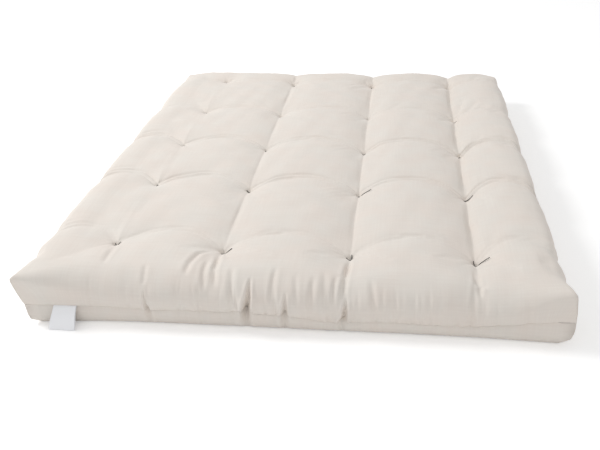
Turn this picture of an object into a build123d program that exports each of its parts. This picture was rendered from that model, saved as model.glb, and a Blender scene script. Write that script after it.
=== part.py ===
from build123d import *
import os
from math import asin, copysign, cos, degrees, radians, sin, sqrt

# Hand-tufted cotton futon mattress, in millimetres.
# Origin: centre of the underside. +X runs across the width, +Y along the length
# away from the labelled end, +Z up.

# The case
WIDTH = 1600.0
LENGTH = 2000.0
CLOTH = 1.5
TOP_ROLL = 75.0
FOOT_ROLL = 22.5

# The tufts, and the pillows between them: deep valleys run along the tuft columns
# and shallow ones across the tuft rows
TUFT_COLUMNS = [-580.0, -225.0, 180.0, 560.0]
TUFT_ROWS = [-775.0, -340.0, 35.0, 430.0, 875.0]
TUFT_LEVEL = 125.0
ROLL_RISE = 38.0
SIDE_RISE = 26.0
PINCH_RISE = 12.0
END_RISE = 7.0
DIMPLE_WIDTH = 90.0
DIMPLE_FLOOR = 16.0
DIMPLE_DEPTH = 6.0
TWINE = 2.2
STITCH_SPREAD = 8.0
NEEDLE_HOLE = 3.0
KNOT_RADIUS = 2.6
KNOT_HEIGHT = 4.0
TAIL_LENGTH = 20.0
TAIL_SLOPE = 42.0
PIT_CLEARANCE = 1.5

# The closing seam and the corner seams
SEAM_LEVEL = 54.0
SEAM_GROOVE = 3.0
GROOVE_HEIGHT = 12.0
SEAM_ALLOWANCE = 16.0
THREAD_INSET = 8.0
THREAD_WIDTH = 2.0
THREAD_HEIGHT = 1.2
FIN_LENGTH = 26.0
FIN_FOOT = 12.0
FIN_TOP = 104.0
CORNER_THREAD_INSET = 13.0
CORNER_THREAD_ENDS = [(58.0, 100.0, "upper"), (16.0, 50.0, "lower")]

# The felt stack
FELT_GAP = 1.2
FELT_LEVELS = [22.0, 41.0, 60.0, 79.0, 98.0, 118.0]
FELT_REBATE = 22.0
FELT_REBATE_HEIGHT = 16.0
FELT_HOLE = (14.0, 5.0)
FELT_CORNER_CUT = (36.0, 8.0)

# The label
LABEL_X = -677.0
LABEL_WIDTH = 72.0
LABEL_LENGTH = 67.0
LABEL_CLEARANCE = 1.2
TAPE = 0.6
FOLD_RADIUS = 1.0

# How finely the soft form is cut into flat strips
BAY_STEP = 90.0
ROLL_STEPS = 3

HALF_WIDTH = WIDTH / 2
HALF_LENGTH = LENGTH / 2
CORNERS = {"front_left": 45, "front_right": 135, "back_right": 225, "back_left": 315}
BASE = (Align.CENTER, Align.CENTER, Align.MIN)
INWARD = (Align.MIN, Align.CENTER, Align.MIN)
ABOVE_ALL = 200.0


def export(name, solid):
    """Write one sub-part to its own file."""
    export_step(solid, f"parts/{name}.step")


# The tufted form


def arches(place, lines, half, rise, rim_rise):
    """Rise above the tuft level at a place across a row of tuft lines.

    There is one arch between each two lines. The outer arches end on the rim.
    """
    bounds = [-half] + lines + [half]
    rises = [rim_rise] + [0.0] * len(lines) + [rim_rise]
    last = next(n for n in range(1, len(bounds)) if place <= bounds[n])
    share = (place - bounds[last - 1]) / (bounds[last] - bounds[last - 1])
    low, high = rises[last - 1], rises[last]
    bulge = rise - (low + high) / 2
    return low + (high - low) * share + 4 * bulge * share * (1 - share)


def roll(distance, radius):
    """How far a quarter-round edge falls short of the full form, by distance in."""
    if distance >= radius:
        return 0.0
    return radius - sqrt(radius**2 - (radius - distance) ** 2)


def stations(lines, half):
    """Places where the form is cut into strips, from one edge to the other."""
    steps = [90 * step / ROLL_STEPS for step in range(ROLL_STEPS)]
    edge = [half - TOP_ROLL * (1 - cos(radians(step))) for step in steps]
    bounds = [-half + TOP_ROLL] + lines + [half - TOP_ROLL]
    places = [-place for place in edge]
    for low, high in zip(bounds, bounds[1:]):
        count = max(2, round((high - low) / BAY_STEP))
        places += [low + (high - low) * step / count for step in range(count)]
    return places + [half - TOP_ROLL] + edge[::-1]


def drawn_in(place, half, inset):
    """The same place on a form drawn in by inset: only the rolled edge moves."""
    if half - abs(place) >= TOP_ROLL:
        return place
    return place - inset if place > 0 else place + inset


def cross_section(y, inset, base):
    """Outline of the form at one place along its length, drawn in by inset."""
    along = drawn_in(y, HALF_LENGTH, inset)
    pinch = arches(y, TUFT_ROWS, HALF_LENGTH, PINCH_RISE, END_RISE)
    top = []
    for x in stations(TUFT_COLUMNS, HALF_WIDTH):
        edge_distance = min(HALF_WIDTH - abs(x), HALF_LENGTH - abs(y))
        rise = arches(x, TUFT_COLUMNS, HALF_WIDTH, ROLL_RISE, SIDE_RISE) + pinch
        height = TUFT_LEVEL + rise - roll(edge_distance, TOP_ROLL) - inset
        top.append((drawn_in(x, HALF_WIDTH, inset), along, height))
    left = (top[0][0], along, base)
    right = (top[-1][0], along, base)
    return Wire(Polyline(left, right, *reversed(top), close=True))


def upper_form(inset, base):
    """The tufted upper part as one solid, from a flat base, drawn in by inset."""
    places = stations(TUFT_ROWS, HALF_LENGTH)
    return Solid.make_loft([cross_section(y, inset, base) for y in places], ruled=True)


def block(inset, low, high):
    """A plain block of the mattress's plan, drawn in by inset, between two heights."""
    size = Box(WIDTH - 2 * inset, LENGTH - 2 * inset, high - low, align=BASE)
    return Pos(0, 0, low) * size


def lower_form(inset, top):
    """The plain lower part as one solid, up to a flat top, drawn in by inset."""
    slab = block(inset, inset, top)
    foot_edges = slab.edges().group_by(Axis.Z)[0]
    return fillet(foot_edges, FOOT_ROLL - inset)


def ring(outer_inset, inner_inset, low, high):
    """A frame that runs round the mattress between two insets and two heights."""
    return block(outer_inset, low, high) - block(inner_inset, low, high)


def seam_groove(inset):
    """The shallow valley that the closing seam draws into the side walls."""
    half_height = GROOVE_HEIGHT / 2
    deep = inset + SEAM_GROOVE
    wide = Rectangle(WIDTH - 2 * inset, LENGTH - 2 * inset)
    narrow = Rectangle(WIDTH - 2 * deep, LENGTH - 2 * deep)
    lower = loft([Pos(0, 0, -half_height) * wide, narrow])
    upper = loft([narrow, Pos(0, 0, half_height) * wide])
    frame = ring(-1, 2 * deep, -half_height, half_height)
    return Pos(0, 0, SEAM_LEVEL) * (frame - lower - upper)


def dimple(level):
    """The four-creased hollow that a tuft pulls into the underside, at one level."""
    low = (DIMPLE_WIDTH - DIMPLE_FLOOR) / 2
    high = (DIMPLE_WIDTH + DIMPLE_FLOOR) / 2
    hollow = Wedge(DIMPLE_WIDTH, DIMPLE_DEPTH, DIMPLE_WIDTH, low, low, high, high)
    return Pos(0, 0, level + DIMPLE_DEPTH / 2) * Rot(90, 0, 0) * hollow


def at_tufts(part):
    """A copy of one part at each tuft."""
    return [Pos(x, y, 0) * part for y in TUFT_ROWS for x in TUFT_COLUMNS]


def at_corner(turn, part):
    """Turn a part made along +X so that it points in from one corner of the case."""
    x = -copysign(HALF_WIDTH, cos(radians(turn)))
    y = -copysign(HALF_LENGTH, sin(radians(turn)))
    return Pos(x, y, 0) * Rot(0, 0, turn) * part


# The stitching


def closing_thread():
    """Flat stitching line in the middle of the seam allowance, right round."""
    low = SEAM_LEVEL - THREAD_HEIGHT / 2
    high = SEAM_LEVEL + THREAD_HEIGHT / 2
    return ring(THREAD_INSET, THREAD_INSET + THREAD_WIDTH, low, high)


def corner_thread(low, high):
    """Stitching line sunk into one face of a corner's seam allowance."""
    line = Box(THREAD_WIDTH, THREAD_HEIGHT, high - low, align=BASE)
    return Pos(CORNER_THREAD_INSET, CLOTH - THREAD_HEIGHT / 2, low) * line


def corner_fin():
    """The two plies of seam allowance that stand inside a boxed corner."""
    return Pos(0, 0, FIN_FOOT) * Box(FIN_LENGTH, 2 * CLOTH, FIN_TOP - FIN_FOOT, align=INWARD)


def tuft():
    """One twine tie: two legs, a bar stitch under, a bar and knot over, two tails."""
    foot = DIMPLE_DEPTH - TWINE
    over = TUFT_LEVEL + PIT_CLEARANCE
    leg = Pos(0, 0, foot) * Box(TWINE, TWINE, over + TWINE - foot, align=BASE)
    bar = Box(STITCH_SPREAD, TWINE, TWINE, align=BASE)
    knot = extrude(RegularPolygon(KNOT_RADIUS, 6), KNOT_HEIGHT, taper=12)
    tail = Rot(0, -TAIL_SLOPE, 0) * Box(TAIL_LENGTH, TWINE * 0.7, TWINE * 0.7, align=INWARD)
    spread = STITCH_SPREAD / 2
    tie = Pos(-spread, 0, 0) * leg + Pos(spread, 0, 0) * leg
    tie += Pos(0, 0, foot) * bar + Pos(0, 0, over) * bar + Pos(0, 0, over) * knot
    for turn in (65, 250):
        tie += Pos(0, 0, over + TWINE) * Rot(0, 0, turn) * tail
    return tie


# The case and its filling


def seam_details():
    """Everything sewn at the edges: the allowance ring, the fins and the threads."""
    fins = [at_corner(turn, corner_fin()) for turn in CORNERS.values()]
    allowance = ring(0, SEAM_ALLOWANCE, SEAM_LEVEL - CLOTH, SEAM_LEVEL + CLOTH)
    threads = [closing_thread()]
    for turn in CORNERS.values():
        for low, high, _ in CORNER_THREAD_ENDS:
            threads.append(at_corner(turn, corner_thread(low, high)))
    return [allowance, *fins], threads


def needle_holes():
    """The two holes that each tuft's legs pass through."""
    hole = Box(NEEDLE_HOLE, NEEDLE_HOLE, ABOVE_ALL, align=BASE)
    spread = STITCH_SPREAD / 2
    return at_tufts(Pos(-spread, 0, 0) * hole) + at_tufts(Pos(spread, 0, 0) * hole)


def cover_top():
    """The upper panel with its side walls, seam allowance and corner fins."""
    folds, threads = seam_details()
    cavity = upper_form(CLOTH, SEAM_LEVEL) - [seam_groove(CLOTH), *folds]
    return upper_form(0, SEAM_LEVEL) - [cavity, seam_groove(0), *threads, *needle_holes()]


def cover_bottom():
    """The lower panel, dimpled at the tufts, with its low walls."""
    folds, threads = seam_details()
    cavity = lower_form(CLOTH, SEAM_LEVEL)
    cavity -= [seam_groove(CLOTH), *folds, *at_tufts(dimple(CLOTH))]
    cuts = [cavity, seam_groove(0), *threads, *needle_holes(), *at_tufts(dimple(0))]
    return lower_form(0, SEAM_LEVEL) - cuts


def felt_layers():
    """The filling, parted into layers that lie face to face."""
    inset = CLOTH + FELT_GAP
    half_rebate = FELT_REBATE_HEIGHT / 2
    rebate = ring(0, FELT_REBATE, SEAM_LEVEL - half_rebate, SEAM_LEVEL + half_rebate)
    cut = Box(FELT_CORNER_CUT[0], FELT_CORNER_CUT[1], ABOVE_ALL, align=INWARD)
    hole = Box(FELT_HOLE[0], FELT_HOLE[1], ABOVE_ALL, align=BASE)
    clearances = [rebate, *[at_corner(turn, cut) for turn in CORNERS.values()], *at_tufts(hole)]
    join = FELT_LEVELS[1]
    lower = lower_form(inset, join) - [*clearances, *at_tufts(dimple(inset))]
    upper = upper_form(inset, join) - clearances
    layers = []
    for stack, levels in ((lower, FELT_LEVELS[:1]), (upper, FELT_LEVELS[2:])):
        for level in levels:
            layers.append(stack.split(Plane.XY.offset(level), keep=Keep.BOTTOM))
            stack = stack.split(Plane.XY.offset(level), keep=Keep.TOP)
        layers.append(stack)
    return layers


def label():
    """A folded loop of tape that slopes from the closing seam to the floor."""
    straight = LABEL_LENGTH - FOLD_RADIUS
    slope = degrees(asin((SEAM_LEVEL - FOLD_RADIUS) / straight))
    loops = []
    for radius, start, half_height in ((FOLD_RADIUS, 0, TAPE), (FOLD_RADIUS - TAPE, 6 * TAPE, 0)):
        root = [(start, half_height), (start, -half_height)]
        lower = Line(root[1], (straight, -radius))
        fold = ThreePointArc((straight, -radius), (straight + radius, 0), (straight, radius))
        upper = Line((straight, radius), root[0])
        edges = [lower, fold, upper] + ([Line(*root)] if half_height else [])
        loops.append(make_face(Wire(edges)))
    profile = loops[0] - loops[1]
    loop = extrude(Plane.XZ * profile, LABEL_WIDTH / 2, both=True)
    turned = Rot(0, 0, -90) * Rot(0, slope, 0) * loop
    return Pos(LABEL_X, -HALF_LENGTH - LABEL_CLEARANCE, SEAM_LEVEL) * turned


def build():
    os.makedirs("parts", exist_ok=True)
    export("cover_top", cover_top())
    export("cover_bottom", cover_bottom())
    export("closing_seam_thread", closing_thread())
    for corner, turn in CORNERS.items():
        for low, high, level in CORNER_THREAD_ENDS:
            export(f"{level}_seam_thread_{corner}", at_corner(turn, corner_thread(low, high)))
    for number, layer in enumerate(felt_layers(), 1):
        export(f"felt_layer_{number}", layer)
    tie = tuft()
    for row, y in enumerate(TUFT_ROWS, 1):
        for column, x in enumerate(TUFT_COLUMNS, 1):
            export(f"tuft_r{row}_c{column}", Pos(x, y, 0) * tie)
    export("label", label())


build()
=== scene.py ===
"""A hand-tufted cotton futon mattress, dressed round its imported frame."""

import math

import bpy
import numpy as np
from mathutils import Matrix, Vector
from mathutils.bvhtree import BVHTree


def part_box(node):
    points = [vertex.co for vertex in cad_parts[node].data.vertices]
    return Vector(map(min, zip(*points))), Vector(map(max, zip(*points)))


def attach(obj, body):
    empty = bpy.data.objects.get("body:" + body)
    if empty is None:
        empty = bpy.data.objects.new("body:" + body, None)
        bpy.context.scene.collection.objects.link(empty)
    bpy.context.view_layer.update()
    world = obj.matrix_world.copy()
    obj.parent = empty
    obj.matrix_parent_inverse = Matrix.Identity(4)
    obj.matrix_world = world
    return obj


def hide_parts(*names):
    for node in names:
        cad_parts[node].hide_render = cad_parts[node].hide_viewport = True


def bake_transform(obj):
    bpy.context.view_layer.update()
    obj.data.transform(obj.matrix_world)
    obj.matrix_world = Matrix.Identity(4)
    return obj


# Lengths are in metres; tables of plain numbers are in mm
MM = 0.001

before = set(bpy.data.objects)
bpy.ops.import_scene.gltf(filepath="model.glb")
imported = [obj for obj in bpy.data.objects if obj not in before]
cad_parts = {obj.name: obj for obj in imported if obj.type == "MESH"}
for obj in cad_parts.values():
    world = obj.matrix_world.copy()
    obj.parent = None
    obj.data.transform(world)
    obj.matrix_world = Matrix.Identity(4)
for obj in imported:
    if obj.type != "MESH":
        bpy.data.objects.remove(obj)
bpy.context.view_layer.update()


# --- Sizes, read from the frame ---

case_low, case_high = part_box("cover_top")
HALF_WIDTH = case_high.x
HALF_LENGTH = case_high.y
SEAM_LEVEL = case_low.z
CREST = case_high.z
ROWS, COLUMNS = 5, 4


def middle_of(row, column):
    """Where one tuft goes through the mattress, in plan."""
    low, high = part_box(f"tuft_r{row}_c{column}")
    return (low.x + high.x) / 2, (low.y + high.y) / 2


COLUMN_LINES = [round(middle_of(1, c)[0], 3) for c in range(1, COLUMNS + 1)]
ROW_LINES = [round(middle_of(r, 1)[1], 3) for r in range(1, ROWS + 1)]
TUFT_PLACES = [(line, row) for line in COLUMN_LINES for row in ROW_LINES]

# The pillowed top: deep rolls between the columns, pinched lightly along the rows
TUFT_LEVEL = 125 * MM
ROLL_RISE = 38 * MM
SIDE_RISE = 34 * MM
PINCH_RISE = 12 * MM
END_RISE = 7 * MM
TILT_BACK = 4 * MM
TILT_LEFT = 5.5 * MM
# How deep the valley along each column is, as a share of the rolls beside it
VALLEY_DEPTHS = [0.0, 0.6, 0.9, 1.0]
# How far each column's tufts pull the cloth below its valley, and how wide
PIT_DEPTHS = [16 * MM, 10 * MM, 6 * MM, 7 * MM]
PIT_REACH = 26 * MM
EYE_DEPTH = 7 * MM
EYE_WIDTH = 9 * MM
# How far each row's crease arches back between two tufts
CREASE_BOWS = [85 * MM, 75 * MM, 75 * MM, 50 * MM, 0.0]
FRONT_FLATTENING = 0.7
BACK_FLATTENING = 0.45

# The edges: soft rolls along the sides, tight ones at the four pointed corners
EDGE_ROLL = 88 * MM
SIDE_ROLL = 42 * MM
CORNER_ROLL = 9 * MM
CORNER_REACH = 130 * MM
TIGHT_CORNER = 80 * MM
# How far each corner stands out across, along and up: at the floor, at the seam and at its top
EARS = {
    (-1, -1): [(-16, 28, 0), (7, 4, 1), (23, 6, -11)],
    (1, -1): [(6, 20, 0), (21, 4, 9), (4, 3, 16)],
    (-1, 1): [(0, 0, 0), (7, 4, -6), (14, 8, -24)],
    (1, 1): [(0, 0, 0), (2, 0, -7), (4, 0, -24)],
}
EAR_REACHES = [200 * MM, 130 * MM, 95 * MM]
# How much further the very tips of the front corners stand out across, along and up
EAR_TIP = (6, 3, 7)
TIP_REACH = 36 * MM
SCALLOP = 5 * MM
# How far the walls lean out over the closing seam
LEAN_LEFT = 26 * MM
LEAN_RIGHT = 15 * MM
LEAN_ENDS = 5 * MM
# How far the flat wall behind the label gives way
WALL_GIVE = 5 * MM

# The closing seam, seen from the front: height above the floor at places across it
FRONT_SEAM = [(-800, 64), (-440, 59), (-170, 58), (-112, 74), (-75, 61), (-25, 59), (2, 66), (30, 54),
              (130, 39), (172, 46), (205, 42), (330, 47), (530, 43), (640, 55), (800, 78)]
SIDE_SEAM = 58 * MM
SEAM_PULL = 6 * MM

# The foot of the case: where it meets the floor, and the dimples of the tufts under it
FOOT_INSET = 24 * MM
DIMPLE_DEPTH = 6.3 * MM
DIMPLE_REACH = 30 * MM

# Grid spacing of the cloth: open on the plain rolls, close where it folds
OPEN_CELL = 8 * MM
FINE_CELL = 2.8 * MM
UNDER_CELL = 14 * MM
UNDER_FINE_CELL = 5 * MM
BUSY_FADE = 25 * MM

label_low, label_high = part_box("label")
LABEL_PLACE = (label_low.x + label_high.x) / 2
LABEL_WIDTH = label_high.x - label_low.x


# --- Small helpers ---


def smooth_step(share):
    share = np.clip(share, 0, 1)
    return share * share * (3 - 2 * share)


def bell(distance, width):
    return np.exp(-((distance / width) ** 2))


def curve_weights(share):
    """Weights of four neighbours for a smooth curve between the middle two."""
    square, cube = share**2, share**3
    return [
        (-share + 2 * square - cube) / 2,
        (2 - 5 * square + 3 * cube) / 2,
        (share + 4 * square - 3 * cube) / 2,
        (cube - square) / 2,
    ]


def mesh_piece(name, points, faces):
    """A new smooth-shaded object from points and faces."""
    data = bpy.data.meshes.new(name)
    data.from_pydata([tuple(point) for point in points], [], [tuple(face) for face in faces])
    data.shade_smooth()
    piece = bpy.data.objects.new(name, data)
    bpy.context.scene.collection.objects.link(piece)
    return piece


def rows_of(data, name):
    """The points or normals of a mesh as rows of three."""
    values = np.empty(len(data.vertices) * 3)
    data.vertices.foreach_get(name, values)
    return values.reshape(-1, 3)


# --- The shape of the tufted top ---


def arches(place, lines, half, power, rim):
    """0 on each tuft line, about 1 half-way between two lines, rim at the edges."""
    bounds = np.array([-half, *lines, half])
    ends = np.array([rim] + [0.0] * len(lines) + [rim])
    bay = np.clip(np.searchsorted(bounds, place) - 1, 0, len(bounds) - 2)
    share = (place - bounds[bay]) / (bounds[bay + 1] - bounds[bay])
    low, high = ends[bay], ends[bay + 1]
    hump = 1 - np.abs(2 * share - 1) ** power
    return low + (high - low) * share + (1 - (low + high) / 2) * hump


def bow(x, y):
    """How far the row creases stand back from the straight line between two tufts."""
    marks = [-HALF_LENGTH, *ROW_LINES, HALF_LENGTH]
    reach = np.interp(y, marks, [0.0, *CREASE_BOWS, 0.0])
    return reach * arches(x, COLUMN_LINES, HALF_WIDTH, 2.0, 0.05)


def top_height(x, y):
    """Height of the cloth over a place in plan, before the edges roll over."""
    across = arches(x, COLUMN_LINES, HALF_WIDTH, 3.0, SIDE_RISE / ROLL_RISE)
    front = smooth_step((ROW_LINES[0] - y) / (HALF_LENGTH + ROW_LINES[0]))
    back = smooth_step((y - ROW_LINES[-1]) / (HALF_LENGTH - ROW_LINES[-1]))
    flattening = FRONT_FLATTENING * front + BACK_FLATTENING * back
    across = across + (0.85 - across) * flattening
    marks = [-HALF_WIDTH, *COLUMN_LINES, HALF_WIDTH]
    depth = np.interp(x, marks, [VALLEY_DEPTHS[0], *VALLEY_DEPTHS, VALLEY_DEPTHS[-1]])
    filled = (1 - np.clip(across, 0, 1)) * (1 - depth)
    straight = np.clip(y - bow(x, y), -HALF_LENGTH, HALF_LENGTH)
    along = arches(straight, ROW_LINES, HALF_LENGTH, 4.0, END_RISE / PINCH_RISE)
    height = TUFT_LEVEL + ROLL_RISE * (across + filled) + PINCH_RISE * along
    height = height + TILT_BACK * y / HALF_LENGTH - TILT_LEFT * x / HALF_WIDTH
    for line, depth in zip(COLUMN_LINES, PIT_DEPTHS):
        for row in ROW_LINES:
            reach = np.hypot(x - line, y - row)
            pit = 0.5 * np.exp(-reach / PIT_REACH) + 0.5 * bell(reach, 2.4 * PIT_REACH)
            height = height - depth * pit
    return height


# --- The edges ---


def carried_over(excess, radius):
    """Way out and drop of cloth carried over an edge, at a share 0 to 1 of the roll."""
    straight = EDGE_ROLL - radius
    arc = radius * math.pi / 2
    along = excess * (2 * straight + arc)
    angle = np.clip((along - straight) / radius, 0, math.pi / 2)
    out = np.minimum(along, straight) + radius * np.sin(angle)
    drop = radius * (1 - np.cos(angle)) + np.maximum(along - straight - arc, 0)
    return out, drop


def stations(half, open_cell, fine_cell, busy):
    """Places of grid lines on the flat part of the cloth, closer in the busy stretches."""
    places = np.linspace(-half, half, 4001)
    close = np.zeros_like(places)
    for start, end in busy:
        away = np.maximum(start - places, 0) + np.maximum(places - end, 0)
        close = np.maximum(close, bell(away, BUSY_FADE))
    spacing = open_cell + (fine_cell - open_cell) * close
    count = np.cumsum((places[1] - places[0]) / spacing)
    lines = round(count[-1])
    return np.interp(np.linspace(count[0], count[-1], lines), count, places)


def near_corner(x, y, reach=CORNER_REACH):
    """1 at each corner of the plan, fading to 0 at about reach."""
    return bell(np.hypot(HALF_WIDTH - np.abs(x), HALF_LENGTH - np.abs(y)), reach)


def over_edges(across, along):
    """Plan place and drop of grid points, given in cloth lengths."""
    flats = (HALF_WIDTH - EDGE_ROLL, HALF_LENGTH - EDGE_ROLL)
    inner = np.clip(across, -HALF_WIDTH, HALF_WIDTH), np.clip(along, -HALF_LENGTH, HALF_LENGTH)
    near = near_corner(*inner)
    excess = [
        np.clip((np.abs(length) - flat) / (EDGE_ROLL * math.pi / 2), 0, 1)
        for length, flat in zip((across, along), flats)
    ]
    ruling = np.maximum(*excess)
    front = smooth_step((-along - flats[1] + EDGE_ROLL) / EDGE_ROLL)
    radius = SIDE_ROLL + (EDGE_ROLL - SIDE_ROLL) * front
    out, drop = carried_over(ruling, radius + (CORNER_ROLL - radius) * near)
    places = []
    for length, flat, beyond in zip((across, along), flats, excess):
        share = beyond / np.maximum(ruling, 1e-9)
        places.append(np.sign(length) * (np.minimum(np.abs(length), flat) + out * share))
    return places[0], places[1], np.where(ruling > 0, drop, 0.0)


def ear_shift(points):
    """How the four corners stand out from the plain box."""
    shift = np.zeros_like(points)
    low = np.clip(1 - points[:, 2] / SEAM_LEVEL, 0, 1)
    high = np.clip((points[:, 2] - SEAM_LEVEL) / (0.85 * CREST - SEAM_LEVEL), 0, 1)
    for (side, end), amounts in EARS.items():
        gap = np.hypot(points[:, 0] - side * HALF_WIDTH, points[:, 1] - end * HALF_LENGTH)
        for part, reach, amount in zip((low, 1 - low - high, high), EAR_REACHES, amounts):
            weight = ((0.6 * bell(gap, reach) + 0.4 * np.exp(-2 * gap / reach)) * part)[:, None]
            shift += weight * np.array([side * amount[0], end * amount[1], amount[2]]) * MM
        if end < 0:
            weight = (high * np.exp(-gap / TIP_REACH))[:, None]
            shift += weight * np.array([side * EAR_TIP[0], end * EAR_TIP[1], EAR_TIP[2]]) * MM
    return shift


def scallop(x, y):
    """How far the edges stand out between tuft lines, 0 at the lines."""
    sides = arches(np.clip(y, -HALF_LENGTH, HALF_LENGTH), ROW_LINES, HALF_LENGTH, 2.0, 1.0)
    ends = arches(np.clip(x, -HALF_WIDTH, HALF_WIDTH), COLUMN_LINES, HALF_WIDTH, 2.0, 1.0)
    return SCALLOP * (sides - 0.7), SCALLOP * (ends - 0.7)


def seam_height(x, y):
    """Height of the closing seam at a place on the rim."""
    marks, levels = np.array(FRONT_SEAM).T * MM
    front = np.interp(x, marks, levels)
    left, right = levels[0], levels[-1]
    share = smooth_step((y + HALF_LENGTH) / (0.6 * HALF_LENGTH))
    start = left + (right - left) * (x + HALF_WIDTH) / (2 * HALF_WIDTH)
    rest = start + (SIDE_SEAM - start) * share + 3 * MM * share * np.sin(9 * (x + y))
    return np.where(y < -HALF_LENGTH + 1 * MM, front, rest)


def rim_of(grid):
    """The border of a grid in order, anticlockwise from the front left corner."""
    return np.concatenate([grid[0, :-1], grid[:-1, -1], grid[-1, :0:-1], grid[:0:-1, 0]])


def outward(rim, halves):
    """The outward direction in plan at each point of the rim."""
    out = np.zeros((len(rim), 3))
    for axis, half in enumerate(halves):
        on_edge = np.abs(np.abs(rim[:, axis]) - half) < 1e-6
        out[on_edge, axis] = np.sign(rim[on_edge, axis])
    return out


def seam_pull(rim):
    """How far the closing seam draws in: little at the corners and at the label."""
    x, y = rim[:, 0], rim[:, 1]
    on_front = y < -HALF_LENGTH + FOOT_INSET + 1 * MM
    at_label = 0.7 * on_front * bell(x - LABEL_PLACE, 90 * MM)
    at_corner = 0.85 * near_corner(x, y, TIGHT_CORNER)
    return SEAM_PULL * (1 - np.maximum(at_label, at_corner))


WALL_STEPS = 9


def top_walls(rim):
    """Steps of the top panel's walls: level, push and run of each ring."""
    seam, pull = seam_height(rim[:, 0], rim[:, 1]), seam_pull(rim)
    for step in range(1, WALL_STEPS + 1):
        share = step / WALL_STEPS
        level = rim[:, 2] + (seam - rim[:, 2]) * share
        yield level, -pull * share**2, rim[:, 2] - level
    yield seam - 2 * MM, -pull - 1 * MM, rim[:, 2] - seam + 2 * MM
    yield seam + 5 * MM, -pull - 4 * MM, rim[:, 2] - seam + 10 * MM


# The bottom panel's wall: share of the way up to the seam, and how far it stands out there
FOOT_PROFILE = [(0.02, 4), (0.07, 8), (0.16, 12), (0.3, 15.5),
                (0.48, 18), (0.66, 18.5), (0.82, 17), (0.93, 15)]


def bottom_walls(rim):
    """Steps of the bottom panel's walls, from the floor up to the closing seam."""
    full = rim + outward(rim, (HALF_WIDTH - FOOT_INSET, HALF_LENGTH - FOOT_INSET)) * FOOT_INSET
    seam, pull = seam_height(full[:, 0], full[:, 1]), seam_pull(full)
    corner = near_corner(full[:, 0], full[:, 1], TIGHT_CORNER)
    for share, push in FOOT_PROFILE:
        square = min(1, 3 * share) * (FOOT_INSET - pull)
        rounded = push * MM + share**2 * (FOOT_INSET - pull - FOOT_PROFILE[-1][1] * MM)
        yield seam * share, rounded + (square - rounded) * corner, seam * share
    yield seam - 1.2 * MM, FOOT_INSET - pull - 1.5 * MM, seam
    yield seam + 6 * MM, FOOT_INSET - pull - 8 * MM, seam + 10 * MM


def grid_faces(index):
    """Faces of a grid, the cells on its four corner lines cut in two along them."""
    cells = np.stack([index[:-1, :-1], index[:-1, 1:], index[1:, 1:], index[1:, :-1]], -1)
    rows, columns = np.indices(cells.shape[:2])
    rows_left, columns_left = rows[::-1], columns[:, ::-1]
    rising = (rows == columns) | (rows_left == columns_left)
    falling = ((rows == columns_left) | (rows_left == columns)) & ~rising
    cut = [cells[rising][:, [0, 1, 2]], cells[rising][:, [0, 2, 3]]]
    cut += [cells[falling][:, [1, 2, 3]], cells[falling][:, [1, 3, 0]]]
    return [face for part in (cells[~(rising | falling)], *cut) for face in part]


def walled(grid, cloth_grid, profile, halves):
    """A grid and the walls that hang from its rim, one ring of points for each profile step."""
    index = np.arange(grid[..., 0].size).reshape(grid.shape[:2])
    rim, cloth_rim, last = rim_of(grid), rim_of(cloth_grid), rim_of(index[..., None])[:, 0]
    out = outward(rim, halves)
    here = index.size + np.arange(len(rim))
    points, cloth, faces = [grid.reshape(-1, 3)], [cloth_grid.reshape(-1, 2)], grid_faces(index)
    outs = [np.zeros((index.size, 3))]
    for level, push, run in profile(rim):
        points.append(rim * [1, 1, 0] + out * push[:, None] + level[:, None] * [0, 0, 1])
        cloth.append(cloth_rim + out[:, :2] * run[:, None])
        faces.extend(np.stack([here, np.roll(here, -1), np.roll(last, -1), last], -1))
        outs.append(out)
        last, here = here, here + len(rim)
    return np.concatenate(points), np.concatenate(cloth), np.concatenate(outs), faces


# Stretches of the cloth with close folds: gathered front, tuft lines, creases and edges
BUSY_ACROSS = [(-0.32, 0.45), (-0.43, -0.4), *((line - 0.03, line + 0.03) for line in COLUMN_LINES)]
BUSY_ALONG = [(row - 0.02, row + 0.1) for row in ROW_LINES]


EDGE_LINES = 30
REACHES = [half + EDGE_ROLL * (math.pi / 2 - 1) for half in (HALF_WIDTH, HALF_LENGTH)]


def cloth_stations(half, busy):
    """Grid lines of the whole top, with as many over each edge so that corners meet."""
    flat = half - EDGE_ROLL
    edge = np.linspace(0, EDGE_ROLL * math.pi / 2, EDGE_LINES + 1)[1:]
    return np.concatenate([-flat - edge[::-1], stations(flat, OPEN_CELL, FINE_CELL, busy), flat + edge])


def build_top_panel():
    """The top panel: the pillowed sheet and its walls down to the closing seam."""
    lines = cloth_stations(HALF_WIDTH, BUSY_ACROSS), cloth_stations(HALF_LENGTH, BUSY_ALONG)
    across, along = np.meshgrid(*lines)
    x, y, drop = over_edges(across, along)
    grid = np.stack([x, y, top_height(x, y) - drop], -1)
    walls = walled(grid, np.stack([across, along], -1), top_walls, (HALF_WIDTH, HALF_LENGTH))
    return *walls, x.shape


def beside_label(x, y):
    """1 on the front wall behind the label, where the case stays flat for it to fold up."""
    return bell(x - LABEL_PLACE, 80 * MM) * (y < -0.9 * HALF_LENGTH)


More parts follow.
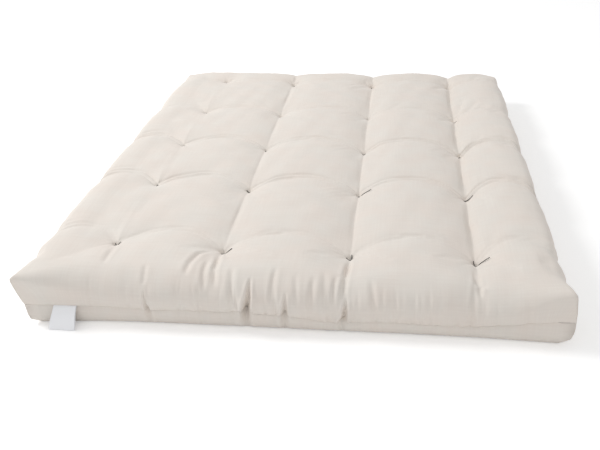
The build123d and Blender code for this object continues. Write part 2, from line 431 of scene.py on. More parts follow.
def swell(points):
    """Scallops along the edges and the pointed corners, added to plain box points."""
    x, y, z = points.T
    sides, ends = scallop(x, y)
    grip = smooth_step((z - 0.3 * SEAM_LEVEL) / SEAM_LEVEL)
    over = smooth_step((z - SEAM_LEVEL) / (0.4 * CREST))
    moved = points.copy()
    calm = 1 - near_corner(x, y)
    beside = beside_label(x, y)
    sides = sides * grip + np.where(x < 0, LEAN_LEFT, LEAN_RIGHT) * over
    ends = (ends * grip + LEAN_ENDS * over) * (1 - beside)
    moved[:, 0] += sides * np.sign(x) * smooth_step((np.abs(x) / HALF_WIDTH - 0.85) / 0.15) * calm
    moved[:, 1] += ends * np.sign(y) * smooth_step((np.abs(y) / HALF_LENGTH - 0.88) / 0.12) * calm
    moved[:, 1] += WALL_GIVE * beside * bell(z - SEAM_LEVEL - 40 * MM, 30 * MM)
    return moved + ear_shift(points)


# --- The slack of the cloth, found by a cloth simulation on a coarse copy of the top ---

SLACK_CELL = 14 * MM
SLACK_FRAMES = 20
SLACK_CAP = 6 * MM
# Ticking over felt: held at the tufts and the rim, and a little too large near them
CLOTH_SETTINGS = {
    "quality": 5,
    "mass": 0.4,
    "tension_stiffness": 20,
    "compression_stiffness": 20,
    "shear_stiffness": 8,
    "bending_stiffness": 0.6,
    "vertex_group_mass": "held",
    "pin_stiffness": 1.0,
    "vertex_group_shrink": "loose",
    "shrink_min": 0.0,
    "shrink_max": -0.035,
    "use_pressure": True,
    "uniform_pressure_force": 3.0,
}


def blurred(values, times):
    """Neighbour averages of a grid of values, taken again and again."""
    for _ in range(times):
        padded = np.pad(values, ((1, 1), (1, 1), (0, 0)), "edge")
        along = padded[:-2, 1:-1] + padded[2:, 1:-1]
        across = padded[1:-1, :-2] + padded[1:-1, 2:]
        values = (along + across + 2 * values) / 6
    return values


def slack_of_cloth():
    """How the loose cloth settles round its tufts, as a grid of small shifts."""
    lines = [np.linspace(-reach, reach, round(2 * reach / SLACK_CELL) + 1) for reach in REACHES]
    across, along = np.meshgrid(*lines)
    x, y, drop = over_edges(across, along)
    points = swell(np.stack([x, y, top_height(x, y) - drop], -1).reshape(-1, 3))
    index = np.arange(x.size).reshape(x.shape)
    sheet = mesh_piece("loose_cloth", points, grid_faces(index))
    nearest = np.min([np.hypot(across - line, along - row) for line, row in TUFT_PLACES], axis=0)
    edge = np.minimum(REACHES[0] - np.abs(across), REACHES[1] - np.abs(along))
    held = np.where((nearest < 0.9 * SLACK_CELL) | (edge < 0.5 * SLACK_CELL), 1.0, 0.03)
    loose = np.maximum(bell(nearest, 90 * MM), 0.5 * bell(edge - 40 * MM, 60 * MM))
    loose = loose * smooth_step(edge / (30 * MM))
    for name, weights in (("held", held), ("loose", loose)):
        group = sheet.vertex_groups.new(name=name)
        for place, weight in enumerate(weights.ravel()):
            group.add([place], float(weight), "REPLACE")
    cloth = sheet.modifiers.new("cloth", "CLOTH")
    for name, value in CLOTH_SETTINGS.items():
        setattr(cloth.settings, name, value)
    cloth.settings.effector_weights.gravity = 0
    cloth.collision_settings.use_collision = False
    cloth.point_cache.frame_end = SLACK_FRAMES
    for moment in range(1, SLACK_FRAMES + 1):
        bpy.context.scene.frame_set(moment)
    settled = rows_of(sheet.evaluated_get(bpy.context.evaluated_depsgraph_get()).data, "co")
    bpy.context.scene.frame_set(1)
    bpy.data.objects.remove(sheet)
    shift = (settled - points).reshape(*x.shape, 3)
    shift -= blurred(shift, 30)
    size = np.linalg.norm(shift, axis=-1)
    kept = np.minimum(1, SLACK_CAP / np.maximum(size, 1e-9)) * smooth_step(edge / (60 * MM))
    kept *= (1 - near_corner(x, y)) * (1 - 0.92 * bell(across - COLUMN_LINES[0], 170 * MM))
    return shift * kept[..., None]


NEIGHBOURS = (-1, 0, 1, 2)


def slack_at(shift, cloth):
    """The shifts of the loose cloth at other places on the cloth."""
    counts = np.array(shift.shape[1::-1]) - 1
    inside = np.clip((cloth + REACHES) / (2 * np.array(REACHES)) * counts, 0, counts)
    low = np.clip(np.floor(inside).astype(int), 0, counts - 1)
    weights = curve_weights(inside - low)
    total = np.zeros((len(cloth), 3))
    for step, weight in zip(NEIGHBOURS, weights):
        row = np.clip(low[:, 1] + step, 0, counts[1])
        for side_step, side_weight in zip(NEIGHBOURS, weights):
            column = np.clip(low[:, 0] + side_step, 0, counts[0])
            total += (weight[:, 1] * side_weight[:, 0])[:, None] * shift[row, column]
    return total


# --- Wrinkles, folds and gathers, pushed along the cloth's own normals ---

# Front folds: places across and along the cloth from the seam up, depth and half width.
# The ones that start below the seam are tucks: narrow at the top and deepest at the seam.
FRONT_FOLDS = [
    ([(-116, -1075), (-110, -1040), (-104, -1010), (-101, -950)], 38, 10),
    ([(0, -1075), (4, -1040), (7, -990)], 24, 8),
    ([(170, -1075), (177, -1045), (182, -990)], 22, 8),
    ([(-416, -1075), (-418, -1045), (-420, -1000)], 15, 6),
    ([(-421, -990), (-424, -950), (-430, -915)], 3, 7),
    ([(-300, -960), (-298, -900), (-285, -840), (-255, -800), (-232, -785)], 5, 8),
    ([(-238, -1000), (-246, -940), (-250, -860)], 4, 7),
    ([(-205, -990), (-216, -920), (-224, -840), (-226, -800)], 5, 7),
    ([(170, -1010), (176, -930), (180, -830), (182, -795)], 6, 7),
    ([(140, -1020), (146, -960), (150, -920)], 3, 6),
    ([(535, -1060), (540, -1000), (548, -900), (558, -800)], 5, 8),
    ([(560, -980), (556, -920), (552, -880)], 4, 6),
    ([(690, -1070), (688, -1030), (684, -980)], 5, 16),
    ([(500, -1065), (498, -1040), (496, -1015)], 3, 7),
    ([(-560, -930), (-566, -860), (-574, -800)], 3, 8),
    ([(-150, -1040), (-156, -980), (-165, -900)], 4, 8),
    ([(-38, -1030), (-34, -970), (-30, -900)], 4, 7),
    ([(38, -1035), (36, -980), (30, -925)], 2.5, 7),
    ([(78, -1050), (82, -990), (84, -930)], 4, 7),
    ([(122, -1040), (120, -980), (112, -900)], 2.5, 8),
    ([(262, -1045), (258, -990), (250, -930)], 3, 7),
]


TUCK_START = -1050 * MM


def crease(distance, depth, width):
    """A narrow valley with a low lip on each side."""
    lips = 0.3 * depth * bell(np.abs(distance) - 2.2 * width, 1.1 * width)
    return -depth * bell(distance, width) + lips


def front_folds(across, along):
    """The folds that run down over the front edge to the seam."""
    push = np.zeros_like(across)
    for path, depth, width in FRONT_FOLDS:
        line = np.array(sorted(path, key=lambda mark: mark[1])) * MM
        middle = np.interp(along, line[:, 1], line[:, 0])
        low, high = line[0, 1], line[-1, 1]
        share = (high - along) / (high - low)
        if low < TUCK_START:
            fade = np.clip(share, 0, 1)
            spread = width * MM * (0.35 + 0.65 * fade)
        else:
            fade = smooth_step(share / 0.35) * smooth_step((1 - share) / 0.2)
            spread = width * MM
        push += crease(across - middle, depth * MM, spread) * fade
    return push


# How strongly each row's fold shows in each bay, from the left edge to the right
CREASE_STRENGTHS = [
    [0.6, 0.5, 0.4, 0.4, 0.5],
    [1.8, 1.3, 1.5, 1.4, 3.1],
    [1.6, 1.2, 1.3, 1.8, 3.6],
    [0.6, 0.8, 0.7, 0.8, 0.7],
    [0.4, 0.7, 0.6, 0.6, 0.5],
]


def row_creases(x, y):
    """The shallow folds that arch over each roll from tuft to tuft."""
    push = np.zeros_like(x)
    inner = np.clip(x, -HALF_WIDTH, HALF_WIDTH)
    straight = y - bow(inner, np.clip(y, -HALF_LENGTH, HALF_LENGTH))
    bays = np.searchsorted(COLUMN_LINES, inner)
    edge = (bays == 0) | (bays == COLUMNS)
    nearest_column = np.min([np.abs(x - line) for line in COLUMN_LINES], axis=0)
    over_side = 1 - smooth_step((np.abs(x) - HALF_WIDTH) / (90 * MM))
    for row, strengths in zip(ROW_LINES, CREASE_STRENGTHS):
        swing = 0.85 + 0.3 * np.sin(x / (70 * MM) + 31 * row)
        strength = np.array(strengths)[bays] * over_side * swing
        wander = 4 * MM * np.sin(x / (52 * MM) + 17 * row) + 2 * MM * np.sin(x / (21 * MM) + 5 * row)
        ahead = straight - row + wander * smooth_step(nearest_column / (60 * MM))
        lip = 2.4 * bell(ahead, 7 * MM) - 3.0 * bell(ahead - 12 * MM, 7 * MM)
        push += strength * (lip - 2.0 * bell(ahead + 13 * MM, 8 * MM)) * MM
        second = smooth_step((np.abs(inner) - 0.82 * HALF_WIDTH) / (0.1 * HALF_WIDTH)) * edge
        push -= strength * second * 3.0 * MM * bell(ahead + 0.8 * wander - 34 * MM, 8 * MM)
    return push


def tuft_wrinkles(x, y, chance):
    """Short creases that fan out from every tuft."""
    push = np.zeros_like(x)
    for line, row in TUFT_PLACES:
        count = chance.integers(7, 11)
        turns = np.arange(count) * 2 * math.pi / count + chance.uniform(-0.25, 0.25, count)
        reaches = chance.uniform(22, 60, count) * MM
        depths = chance.uniform(1.5, 3.5, count) * MM
        near = np.hypot(x - line, y - row) < 200 * MM
        across, along = x[near] - line, y[near] - row
        reach = np.hypot(across, along)
        total = np.zeros_like(reach)
        for turn, length, depth in zip(turns, reaches, depths):
            ahead = across * math.cos(turn) + along * math.sin(turn)
            aside = along * math.cos(turn) - across * math.sin(turn)
            fade = smooth_step(ahead / (8 * MM)) * np.exp(-reach / length)
            total = np.minimum(total, -depth * fade * bell(aside, 4 * MM + 0.06 * reach))
        push[near] += total - EYE_DEPTH * bell(reach, EYE_WIDTH)
    return push


def gathers(place, away, seed, crowd):
    """Fine upright puckers where the cloth is eased on to the closing seam."""
    chance = np.random.default_rng(seed)
    push = np.zeros_like(place)
    for middle in chance.uniform(-HALF_LENGTH, HALF_LENGTH, crowd):
        width = chance.uniform(3.5, 7.5) * MM
        height = chance.uniform(20, 140) * MM
        lean = chance.uniform(-0.15, 0.15)
        depth = chance.uniform(1.4, 5.2) * MM
        near = np.abs(place - middle) < 4 * width + 20 * MM
        over = away[near]
        push[near] -= depth * np.exp(-over / height) * bell(place[near] - middle - lean * over, width)
    return push + 1.5 * MM


def seam_gathers(x, y, away):
    """The puckers of all four sides, away being the distance from the seam line."""
    away = np.maximum(away, 0)
    clear = 1 - near_corner(x, y, 50 * MM)
    start = EDGE_ROLL * 0.6
    on_front = smooth_step((-y - HALF_LENGTH + start) / start)
    on_back = smooth_step((y - HALF_LENGTH + start) / start)
    on_sides = smooth_step((np.abs(x) - HALF_WIDTH + start) / start)
    crowded = 0.3 + 0.7 * bell(x + 10 * MM, 260 * MM)
    push = on_front * crowded * gathers(x, away, 21, 170) + 0.7 * on_back * gathers(x, away, 22, 110)
    return clear * (push + 0.7 * on_sides * gathers(np.sign(x) * y, away, 23, 130))


def felt_lumps(x, y, chance):
    """The slow unevenness of felt under the cloth."""
    push = np.zeros_like(x)
    for _ in range(40):
        turn, phase = chance.uniform(0, 2 * math.pi, 2)
        wave = 2 * math.pi / (chance.uniform(70, 240) * MM)
        push += 0.22 * MM * np.sin(wave * (x * math.cos(turn) + y * math.sin(turn)) + phase)
    return push


def pushed(piece, points, outs, level, push):
    """Points moved along their normals, turning to straight outward at the seam."""
    share = smooth_step((30 * MM - level) / (20 * MM))[:, None] * (np.abs(outs).sum(1) > 0)[:, None]
    direction = rows_of(piece.data, "normal") * (1 - share) + outs * share
    direction /= np.maximum(np.linalg.norm(direction, axis=1), 1e-9)[:, None]
    return points + direction * push[:, None]


def wrinkled(piece, points, cloth, outs):
    """Push every point of the top panel by all its folds."""
    chance = np.random.default_rng(7)
    across, along = cloth.T
    x, y, z = points.T
    push = row_creases(across, along) + tuft_wrinkles(across, along, chance)
    push += felt_lumps(across, along, chance) + front_folds(across, along)
    above = z - seam_height(x, y)
    push += seam_gathers(x, y, above)
    return pushed(piece, points, outs, above, push * (1 - 0.9 * beside_label(x, y)))


def build_bottom_panel():
    """The bottom panel: flat on the floor, dimpled at the tufts, with low walls."""
    half_width, half_length = HALF_WIDTH - FOOT_INSET, HALF_LENGTH - FOOT_INSET
    lines = stations(half_width, UNDER_CELL, UNDER_FINE_CELL, BUSY_ACROSS[:2])
    across, along = np.meshgrid(lines, stations(half_length, UNDER_CELL, UNDER_CELL, []))
    height = np.zeros_like(across)
    for line, row in TUFT_PLACES:
        reach = np.hypot(across - line, along - row)
        height += DIMPLE_DEPTH * np.exp(-((reach / DIMPLE_REACH) ** 1.5))
    grid = np.stack([across, along, height], -1)
    points, cloth, outs, faces = walled(grid, grid[..., :2], bottom_walls, (half_width, half_length))
    return points, cloth, outs, [face[::-1] for face in faces]


def tucked(piece, points, outs):
    """Push the bottom panel's walls in and out where the seam gathers them."""
    x, y, z = points.T
    below = seam_height(x, y) - z
    push = seam_gathers(x, y, 1.5 * below)
    on_front = y < -HALF_LENGTH + 1.5 * FOOT_INSET
    for path, depth, width in FRONT_FOLDS:
        if path[0][1] * MM < TUCK_START:
            tail = np.exp(-np.maximum(below, 0) / (40 * MM))
            push += on_front * crease(x - path[0][0] * MM, depth * MM, width * MM) * tail
    return pushed(piece, points, outs, np.zeros_like(z), push * smooth_step(z / (10 * MM)))


def mark_cloth(piece, cloth):
    """Keep every point's place on the flat cloth, which the weave is drawn by."""
    marks = piece.data.attributes.new("cloth", "FLOAT_VECTOR", "POINT")
    marks.data.foreach_set("vector", np.column_stack([cloth, np.zeros(len(cloth))]).ravel())


def set_points(piece, points):
    piece.data.vertices.foreach_set("co", points.ravel())
    piece.data.update()


points, cloth, outs, faces, cloth_lines = build_top_panel()
points = swell(points)
points += slack_at(slack_of_cloth(), cloth)
panel = mesh_piece("ticking_top_panel", points, faces)
set_points(panel, wrinkled(panel, points, cloth, outs))
mark_cloth(panel, cloth)
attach(panel, "mattress")
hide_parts("cover_top")

under_points, under_cloth, under_outs, under_faces = build_bottom_panel()
under_points = swell(under_points)
under_panel = mesh_piece("ticking_bottom_panel", under_points, under_faces)
set_points(under_panel, tucked(under_panel, under_points, under_outs))
mark_cloth(under_panel, under_cloth)
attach(under_panel, "mattress")
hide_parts("cover_bottom")


# --- The felt filling: seven layers, the upper ones cut to the pillowed top ---

FELT_LAYERS = 7
FELT_INSET = 38 * MM
FELT_CELL = 28 * MM
FELT_GAP = 19 * MM


def build_felt(number):
    """One layer of felt, flat under and either flat or pillowed on top."""
    low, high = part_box(f"felt_layer_{number}")
    halves = (HALF_WIDTH - FELT_INSET, HALF_LENGTH - FELT_INSET)
    lines = [np.linspace(-half, half, round(2 * half / FELT_CELL) + 1) for half in halves]
    across, along = np.meshgrid(*lines)
    in_from_edge = np.minimum(HALF_WIDTH - np.abs(across), HALF_LENGTH - np.abs(along))
    over = np.maximum(EDGE_ROLL - in_from_edge, 0)
    drop = EDGE_ROLL - np.sqrt(np.maximum(EDGE_ROLL**2 - over**2, 0))
    ceiling = top_height(across, along) - drop - FELT_GAP
    upper_side = np.minimum(high.z, ceiling)
    lower_side = np.minimum(max(low.z, 8 * MM), upper_side)
    index = np.arange(across.size).reshape(across.shape)
    points = [np.stack([across, along, side], -1).reshape(-1, 3) for side in (upper_side, lower_side)]
    upper = rim_of(index[..., None])[:, 0]
    lower = upper + across.size
    walls = np.stack([lower, np.roll(lower, -1), np.roll(upper, -1), upper], -1)
    faces = [*grid_faces(index), *(face[::-1] + across.size for face in grid_faces(index)), *walls]
    piece = mesh_piece(f"cotton_felt_layer_{number}", np.concatenate(points), faces)
    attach(piece, "mattress")
    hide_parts(f"felt_layer_{number}")
    return piece


felts = [build_felt(number) for number in range(1, FELT_LAYERS + 1)]


# --- Tufts: a twine tie through the mattress at every crossing ---

TWINE = 2.6 * MM
# How far apart the two legs of a tie stand
SPREAD = 8 * MM
# Cut ends that lie out on the cloth: direction in plan, length, lift at the knot
LONG_TAILS = {
    (1, 4): [(-8, 42, 4), (100, 13, 6)],
    (1, 3): [(190, 14, 0), (75, 16, 3)],
    (1, 2): [(15, 28, 0), (215, 8, 0)],
    (1, 1): [(30, 15, 2), (240, 10, 0), (140, 8, 2)],
    (2, 1): [(80, 8, 2), (250, 6, 0)],
    (2, 3): [(0, 46, 3), (200, 9, 0)],
    (2, 4): [(8, 28, 2), (190, 8, 0)],
    (3, 4): [(10, 9, 0), (190, 5, 0)],
    (4, 4): [(5, 17, 0), (200, 5, 0)],
}


def on_cloth(surface, x, y, gap):
    """A point just above the top panel at a place in plan."""
    hit = surface.ray_cast(Vector((x, y, 1)), Vector((0, 0, -1)))[0]
    return Vector((x, y, hit.z + gap))


def strand(path, radius, twist, step):
    """Rings of points along a path: two plies twisted round each other."""
    path = [Vector(p) for p in path]
    rings, run = [], 0.0
    side = Vector((0, 0, 1)).cross(path[1] - path[0])
    side = side.normalized() if side.length > 1e-7 else Vector((1, 0, 0))
    for place, point in enumerate(path):
        ahead = (path[min(place + 1, len(path) - 1)] - path[max(place - 1, 0)]).normalized()
        side = (side - ahead * side.dot(ahead)).normalized()
        other = ahead.cross(side)
        run += (point - path[max(place - 1, 0)]).length
        tip = 0.35 if place in (0, len(path) - 1) else 1.0
        ring = []
        for corner in range(step):
            turn = 2 * math.pi * corner / step
            ply = radius * tip * (0.72 + 0.28 * abs(math.cos(turn - twist * run)))
            ring.append(point + side * ply * math.cos(turn) + other * ply * math.sin(turn))
        rings.append(ring)
    return rings


def tube(mesh, path, radius, twist=700.0, step=10):
    """Add a closed twisted strand along a path to a list of points and faces."""
    points, faces = mesh
    start = len(points)
    rings = strand(path, radius, twist, step)
    for ring in rings:
        points.extend(ring)
    for place in range(len(rings) - 1):
        for corner in range(step):
            here = start + place * step + corner
            beside = start + place * step + (corner + 1) % step
            faces.append((here, beside, beside + step, here + step))
    faces.append(tuple(start + corner for corner in reversed(range(step))))
    faces.append(tuple(start + (len(rings) - 1) * step + corner for corner in range(step)))


def smooth_path(marks, pace):
    """A smooth curve through a few marks, as evenly paced points."""
    curve = []
    for place in range(len(marks) - 1):
        before, start = marks[max(place - 1, 0)], marks[place]
        end, after = marks[place + 1], marks[min(place + 2, len(marks) - 1)]
        count = max(2, math.ceil((end - start).length / pace))
        for share in np.linspace(0, 1, count, endpoint=False):
            weighed = zip(curve_weights(share), (before, start, end, after))
            curve.append(sum((mark * weight for weight, mark in weighed), Vector()))
    return [*curve, marks[-1]]


def knot_path(centre, size, turn):
    """A trefoil: the overhand knot that the two ends are tied in."""
    curve = []
    for share in np.linspace(0, 2 * math.pi, 49)[:-1]:
        x = math.sin(share) + 2 * math.sin(2 * share)
        y = math.cos(share) - 2 * math.cos(2 * share)
        z = -math.sin(3 * share) * 0.9
        across = x * math.cos(turn) - y * math.sin(turn)
        along = x * math.sin(turn) + y * math.cos(turn)
        curve.append(centre + Vector((across, along, z)) * size)
    return curve


def build_tuft(row, column, surface, chance):
    """One tie: legs, bar stitch under the case, bar and knot on top, and cut tails."""
    x, y = middle_of(row, column)
    mesh = ([], [])
    top = on_cloth(surface, x, y, 0.3 * TWINE).z
    foot = DIMPLE_DEPTH - TWINE
    levels = [top - 1 * MM, top - 20 * MM, foot + 15 * MM, foot + 2 * MM]
    leg = [*((0.5, level) for level in levels), (0.3, foot)]
    around = [Vector((x - share * SPREAD, y, level)) for share, level in leg]
    around += [Vector((x + share * SPREAD, y, level)) for share, level in reversed(leg)]
    tube(mesh, smooth_path(around, 6 * MM), TWINE / 2)
    tube(mesh, smooth_path([around[0], Vector((x, y, top + 1 * MM)), around[-1]], 1 * MM), TWINE / 2)
    knot = Vector((x, y, top + 0.8 * MM))
    tube(mesh, knot_path(knot, 0.8 * MM, chance.uniform(0, 6)), TWINE / 3, step=8)
    first = chance.uniform(0, 360)
    short = [
        (first, chance.uniform(6, 12), 1),
        (first + chance.uniform(120, 220), chance.uniform(5, 9), 1),
    ]
    for turn, length, lift in LONG_TAILS.get((row, column), short):
        angle, marks = math.radians(turn), [knot]
        for share in (0.15, 0.35, 0.65, 1.0):
            reach, bend = length * share * MM, 0.12 * math.sin(3 * share + row + column)
            place = (x + reach * math.cos(angle + bend), y + reach * math.sin(angle + bend))
            marks.append(on_cloth(surface, *place, 0.6 * TWINE + lift * MM * share))
        tube(mesh, smooth_path(marks, 1 * MM), TWINE / 2)
    piece = mesh_piece(f"twine_tuft_r{row}_c{column}", *mesh)
    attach(piece, "mattress")
    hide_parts(f"tuft_r{row}_c{column}")
    return piece


def surface_of(piece):
    bpy.context.view_layer.update()
    return BVHTree.FromObject(piece, bpy.context.evaluated_depsgraph_get())


chance = np.random.default_rng(3)
cloth_surface = surface_of(panel)
tufts = [
    build_tuft(row, column, cloth_surface, chance)
    for row in range(1, ROWS + 1)
    for column in range(1, COLUMNS + 1)
]


# --- Sewing: the stitches of the closing seam and of the eight corner seams ---

THREAD = 0.9 * MM
STITCH = 5.5 * MM
STITCH_GAP = 2 * MM


def sewn(thread_node, marks):
    """A row of stitches along marks on the cloth, in place of a plain thread node."""
    marks = np.array(marks)
    runs = np.concatenate([[0], np.cumsum(np.linalg.norm(np.diff(marks, axis=0), axis=1))])
    starts = np.arange(0, runs[-1] - STITCH, STITCH + STITCH_GAP)
    mesh = ([], [])
    for start in starts:
        places = start + np.array([0, 0.15, 0.5, 0.85, 1]) * STITCH
        stitch = np.stack([np.interp(places, runs, marks[:, axis]) for axis in range(3)], -1)
        tube(mesh, stitch, THREAD / 2, twist=0.0, step=6)
    piece = mesh_piece(thread_node.replace("thread", "stitches"), *mesh)
    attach(piece, "mattress")
    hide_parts(thread_node)
    return piece


def corner_marks(surface, side, end, low, high):
    """A line on the cloth down one of its four corner edges."""
    out = Vector((side, end, 0)).normalized()
    marks = []
    for level in np.linspace(high, low, 12):
        edge = np.array([[side * HALF_WIDTH, end * HALF_LENGTH, level]])
        start = Vector((edge + ear_shift(edge))[0]) + out * 60 * MM
        hit = surface.ray_cast(start, -out)[0]
        marks.append(hit + out * THREAD * 0.2)
    return marks


CORNERS = {(-1, -1): "front_left", (1, -1): "front_right", (1, 1): "back_right", (-1, 1): "back_left"}
# The corner seams run between these levels and stop short of the closing seam
CORNER_FOOT = 10 * MM
CORNER_TOP = 138 * MM
CLEAR_OF_SEAM = 6 * MM
under_surface = surface_of(under_panel)
ring_size = 2 * (cloth_lines[0] - 1) + 2 * (cloth_lines[1] - 1)
seam_ring = cloth_lines[0] * cloth_lines[1] + (WALL_STEPS - 1) * ring_size
seam_line = rows_of(panel.data, "co")[seam_ring : seam_ring + ring_size]
threads = [sewn("closing_seam_thread", [*seam_line, seam_line[0]])]
for (side, end), name in CORNERS.items():
    seam = seam_height(np.array([side * HALF_WIDTH]), np.array([end * (HALF_LENGTH - 2 * MM)]))[0]
    upper = corner_marks(cloth_surface, side, end, seam + CLEAR_OF_SEAM, CORNER_TOP)
    lower = corner_marks(under_surface, side, end, CORNER_FOOT, seam - CLEAR_OF_SEAM)
    threads.append(sewn(f"upper_seam_thread_{name}", upper))
    threads.append(sewn(f"lower_seam_thread_{name}", lower))


# --- The label: a folded loop of tape sewn into the closing seam ---

TAPE = 0.5 * MM
# How far the loop goes into the seam and out of it, and how much it spreads at its fold
LABEL_ROOT = 3 * MM
LABEL_REACH = 40 * MM
LABEL_FAN = 11 * MM


def build_label():
    """The tape goes out of the seam, down to a soft fold on the floor, and back; also its length."""
    seam = seam_height(np.array([LABEL_PLACE]), np.array([-HALF_LENGTH]))[0]
    # Way out from the front of the case, and height over the floor
    loop = [
        (-LABEL_ROOT, seam + 0.3 * MM),
        (4 * MM, seam - 1.5 * MM),
        (17 * MM, seam - 16 * MM),
        (30 * MM, 0.4 * seam),
        (LABEL_REACH, 5 * MM),
        (LABEL_REACH + 1.2 * MM, 2 * MM),
        (LABEL_REACH - 0.8 * MM, 1.1 * MM),
        (LABEL_REACH - 4 * MM, 2.4 * MM),
        (26 * MM, 0.36 * seam - 2 * MM),
        (12 * MM, seam - 17 * MM),
        (-LABEL_ROOT, seam - 0.9 * MM),
    ]
    profile = smooth_path([Vector((0, -HALF_LENGTH - out, level)) for out, level in loop], 2.5 * MM)
    widths = np.linspace(-0.5, 0.5, 25)
    points, faces = [], []
    for place, mark in enumerate(profile):
        share = place / (len(profile) - 1)
        fan = LABEL_FAN * smooth_step(min(share, 1 - share) / 0.5)
        for width in widths:
            wave = 0.8 * MM * math.sin(9 * width + 2) * math.sin(math.pi * share)
            x = LABEL_PLACE + width * LABEL_WIDTH - fan * (0.5 - width)
            points.append((x, mark.y + wave, mark.z))
    columns = len(widths)
    for row in range(len(profile) - 1):
        for column in range(columns - 1):
            here = row * columns + column
            faces.append((here, here + columns, here + columns + 1, here + 1))
    piece = mesh_piece("woven_label_loop", points, faces)
    thick = piece.modifiers.new("tape", "SOLIDIFY")
    thick.thickness = TAPE
    thick.offset = 0
    return piece, sum((after - before).length for before, after in zip(profile, profile[1:]))


label, tape_length = build_label()
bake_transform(label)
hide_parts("label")


# --- Materials ---


def linear(code):
    """An sRGB hex colour as linear RGBA."""
    channels = [int(code[i : i + 2], 16) / 255 for i in (0, 2, 4)]
    return [c / 12.92 if c <= 0.04045 else ((c + 0.055) / 1.055) ** 2.4 for c in channels] + [1.0]


def node(material, kind, links=(), **settings):
    """Add a node with its settings, and link sockets of other nodes into it."""
    new = material.node_tree.nodes.new(kind)
    for name, value in settings.items():
        if hasattr(new, name):
            setattr(new, name, value)
        else:
            new.inputs[name.replace("_", " ")].default_value = value
    for socket, source in links:
        material.node_tree.links.new(source, new.inputs[socket])
    return new


def finish(name, colour, roughness, *pieces):
    """A new material with its shader, put on its pieces."""
    material = bpy.data.materials.new(name)
    material.use_nodes = True
    shader = material.node_tree.nodes["Principled BSDF"]
    shader.inputs["Base Color"].default_value = linear(colour)
    shader.inputs["Roughness"].default_value = roughness
    for piece in pieces:
        piece.data.materials.append(material)
    return material, shader


def roughen(material, shader, height, strength, distance):
    """Let the height of a pattern break up the light on a material."""
    bump = node(material, "ShaderNodeBump", [("Height", height)], Strength=strength, Distance=distance)
    material.node_tree.links.new(bump.outputs["Normal"], shader.inputs["Normal"])


def ramp(material, source, *stops):
    """Turn a pattern into colours between two stops of place and colour."""
    new = node(material, "ShaderNodeValToRGB", [("Fac", source)])
    for element, (place, colour) in zip(new.color_ramp.elements, stops):
        element.position = place
        element.color = linear(colour)
    return new.outputs["Color"]


# Unbleached cotton ticking, plain woven: a dull warm white that slubs and uneven yarn break up.
# The real threads are 0.6 mm apart, too fine to show, so the yarns are drawn 5.5 mm apart.
YARN = 5.5 * MM
YARN_LENGTH = 24 * YARN
ticking, shader = finish("woven_cotton_ticking", "e7e1d9", 0.92, panel, under_panel)
places = node(ticking, "ShaderNodeAttribute", attribute_name="cloth").outputs["Vector"]
flat = [("Vector", places)]
yarns = []
for stretch in ((1 / YARN, 1 / YARN_LENGTH, 1.0), (1 / YARN_LENGTH, 1 / YARN, 1.0)):
    laid = node(ticking, "ShaderNodeMapping", flat, Scale=stretch)
    along_yarn = [("Vector", laid.outputs["Vector"])]
    yarns.append(node(ticking, "ShaderNodeTexNoise", along_yarn, Scale=1.0, Detail=2.0))
crossed = [(0, yarns[0].outputs["Fac"]), (1, yarns[1].outputs["Fac"])]
weave = node(ticking, "ShaderNodeMath", crossed, operation="MULTIPLY").outputs["Value"]
patches = node(ticking, "ShaderNodeTexNoise", flat, Scale=9.0, Detail=2.0, Roughness=0.55)
yarn_tone = ramp(ticking, weave, (0.12, "e8e1da"), (0.4, "ebe5de"))
patch_tone = ramp(ticking, patches.outputs["Fac"], (0.35, "fbf8f6"), (0.65, "fafaf9"))
tones = [(6, yarn_tone), (7, patch_tone)]
toned = node(ticking, "ShaderNodeMix", tones, data_type="RGBA", blend_type="MULTIPLY")
toned.inputs[0].default_value = 1.0
ticking.node_tree.links.new(toned.outputs[2], shader.inputs["Base Color"])
roughen(ticking, shader, weave, 0.1, 1.0 * MM)
shader.inputs["Sheen Weight"].default_value = 0.12
shader.inputs["Sheen Roughness"].default_value = 0.5

# Waxed black cotton twine: nearly black, with the dull gleam of wax on its two plies
twine, shader = finish("waxed_black_twine", "1b1a1a", 0.55, *tufts)
grain = node(twine, "ShaderNodeTexNoise", Scale=900.0, Detail=2.0)
roughen(twine, shader, grain.outputs["Fac"], 0.3, 0.2 * MM)

# Carded cotton felt: creamy, matt and fluffy, with tufts of fibre about 12 mm across
felt, shader = finish("carded_cotton_felt", "e4dccd", 1.0, *felts)
fibres = node(felt, "ShaderNodeTexNoise", Scale=80.0, Detail=5.0)
roughen(felt, shader, fibres.outputs["Fac"], 0.6, 3 * MM)

# Spun cotton sewing thread: pale and slightly shiny, its 1 mm twist shown as fine bands
thread, shader = finish("spun_sewing_thread", "ece6dc", 0.6, *threads)
spun = node(thread, "ShaderNodeTexWave", Scale=160.0, Distortion=1.0, bands_direction="DIAGONAL")
roughen(thread, shader, spun.outputs["Fac"], 0.4, 0.15 * MM)

# Woven taffeta label tape: a smooth cool white, its 0.3 mm ribs drawn 2 mm apart
tape, shader = finish("woven_label_tape", "fbfcff", 0.6, label)
ribs = node(tape, "ShaderNodeTexWave", Scale=80.0, Distortion=0.4, bands_direction="X")
roughen(tape, shader, ribs.outputs["Fac"], 0.25, 0.3 * MM)


# --- Floor, light and camera ---

# The strength of the soft light from all round, and the white that the floor and the air
# behind it add for the eye alone, so that both stay white in this light
SKY = 0.68
FLOOR_GLOW = 0.2


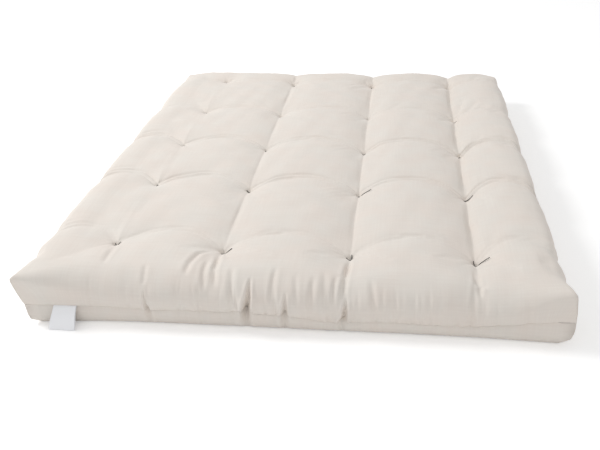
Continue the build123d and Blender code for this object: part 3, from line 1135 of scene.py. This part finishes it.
def for_the_eye(owner, plain, added):
    """A strength of plain, with more added where the camera sees it, straight or in a gloss."""
    path = node(owner, "ShaderNodeLightPath")
    seen = path.outputs["Is Camera Ray"]
    for ray in ("Is Glossy Ray", "Is Transmission Ray"):
        either = node(owner, "ShaderNodeMath", [(0, seen), (1, path.outputs[ray])], operation="ADD")
        seen = either.outputs["Value"]
    total = node(owner, "ShaderNodeMath", [(0, seen)], operation="MULTIPLY_ADD")
    total.inputs[1].default_value = added
    total.inputs[2].default_value = plain
    return total.outputs["Value"]


FLOOR_CORNERS = [(-20, -20, 0), (20, -20, 0), (20, 20, 0), (-20, 20, 0)]
floor = mesh_piece("floor", FLOOR_CORNERS, [(0, 1, 2, 3)])
paper, shader = finish("white_studio_floor", "ffffff", 1.0, floor)
paper.node_tree.links.new(for_the_eye(paper, 0.0, FLOOR_GLOW), shader.inputs["Emission Strength"])
shader.inputs["Emission Color"].default_value = linear("ffffff")

world = bpy.data.worlds.new("studio")
bpy.context.scene.world = world
world.use_nodes = True
air = world.node_tree.nodes["Background"]
air.inputs["Color"].default_value = (1, 1, 1, 1)
world.node_tree.links.new(for_the_eye(world, SKY, 1 - SKY), air.inputs["Strength"])

lamp = bpy.data.lights.new("window_light", "AREA")
lamp.shape = "DISK"
lamp.size = 2.0
lamp.energy = 135
window = bpy.data.objects.new("window_light", lamp)
bpy.context.scene.collection.objects.link(window)
window.location = (-4.1, 0.4, 3.9)
window.rotation_euler = (-window.location).to_track_quat("-Z", "Y").to_euler()

CAMERA_PLACE = (0.319, -2.673, 1.305)
yaw, pitch, tilt = (math.radians(a) for a in (8.77, 29.01, -2.82))
side = Vector((math.cos(yaw), math.sin(yaw), 0))
rise = Vector((-math.sin(yaw) * math.sin(pitch), math.cos(yaw) * math.sin(pitch), math.cos(pitch)))
ahead = Vector((-math.sin(yaw) * math.cos(pitch), math.cos(yaw) * math.cos(pitch), -math.sin(pitch)))
camera_data = bpy.data.cameras.new("camera")
camera_data.sensor_width = 36.0
camera_data.lens = 42.852
camera = bpy.data.objects.new("camera", camera_data)
bpy.context.scene.collection.objects.link(camera)
right = math.cos(tilt) * side + math.sin(tilt) * rise
up = -math.sin(tilt) * side + math.cos(tilt) * rise
turned = Matrix((right, up, -ahead)).transposed().to_4x4()
camera.matrix_world = Matrix.Translation(CAMERA_PLACE) @ turned
bpy.context.scene.camera = camera
bpy.context.scene.view_settings.view_transform = "Standard"
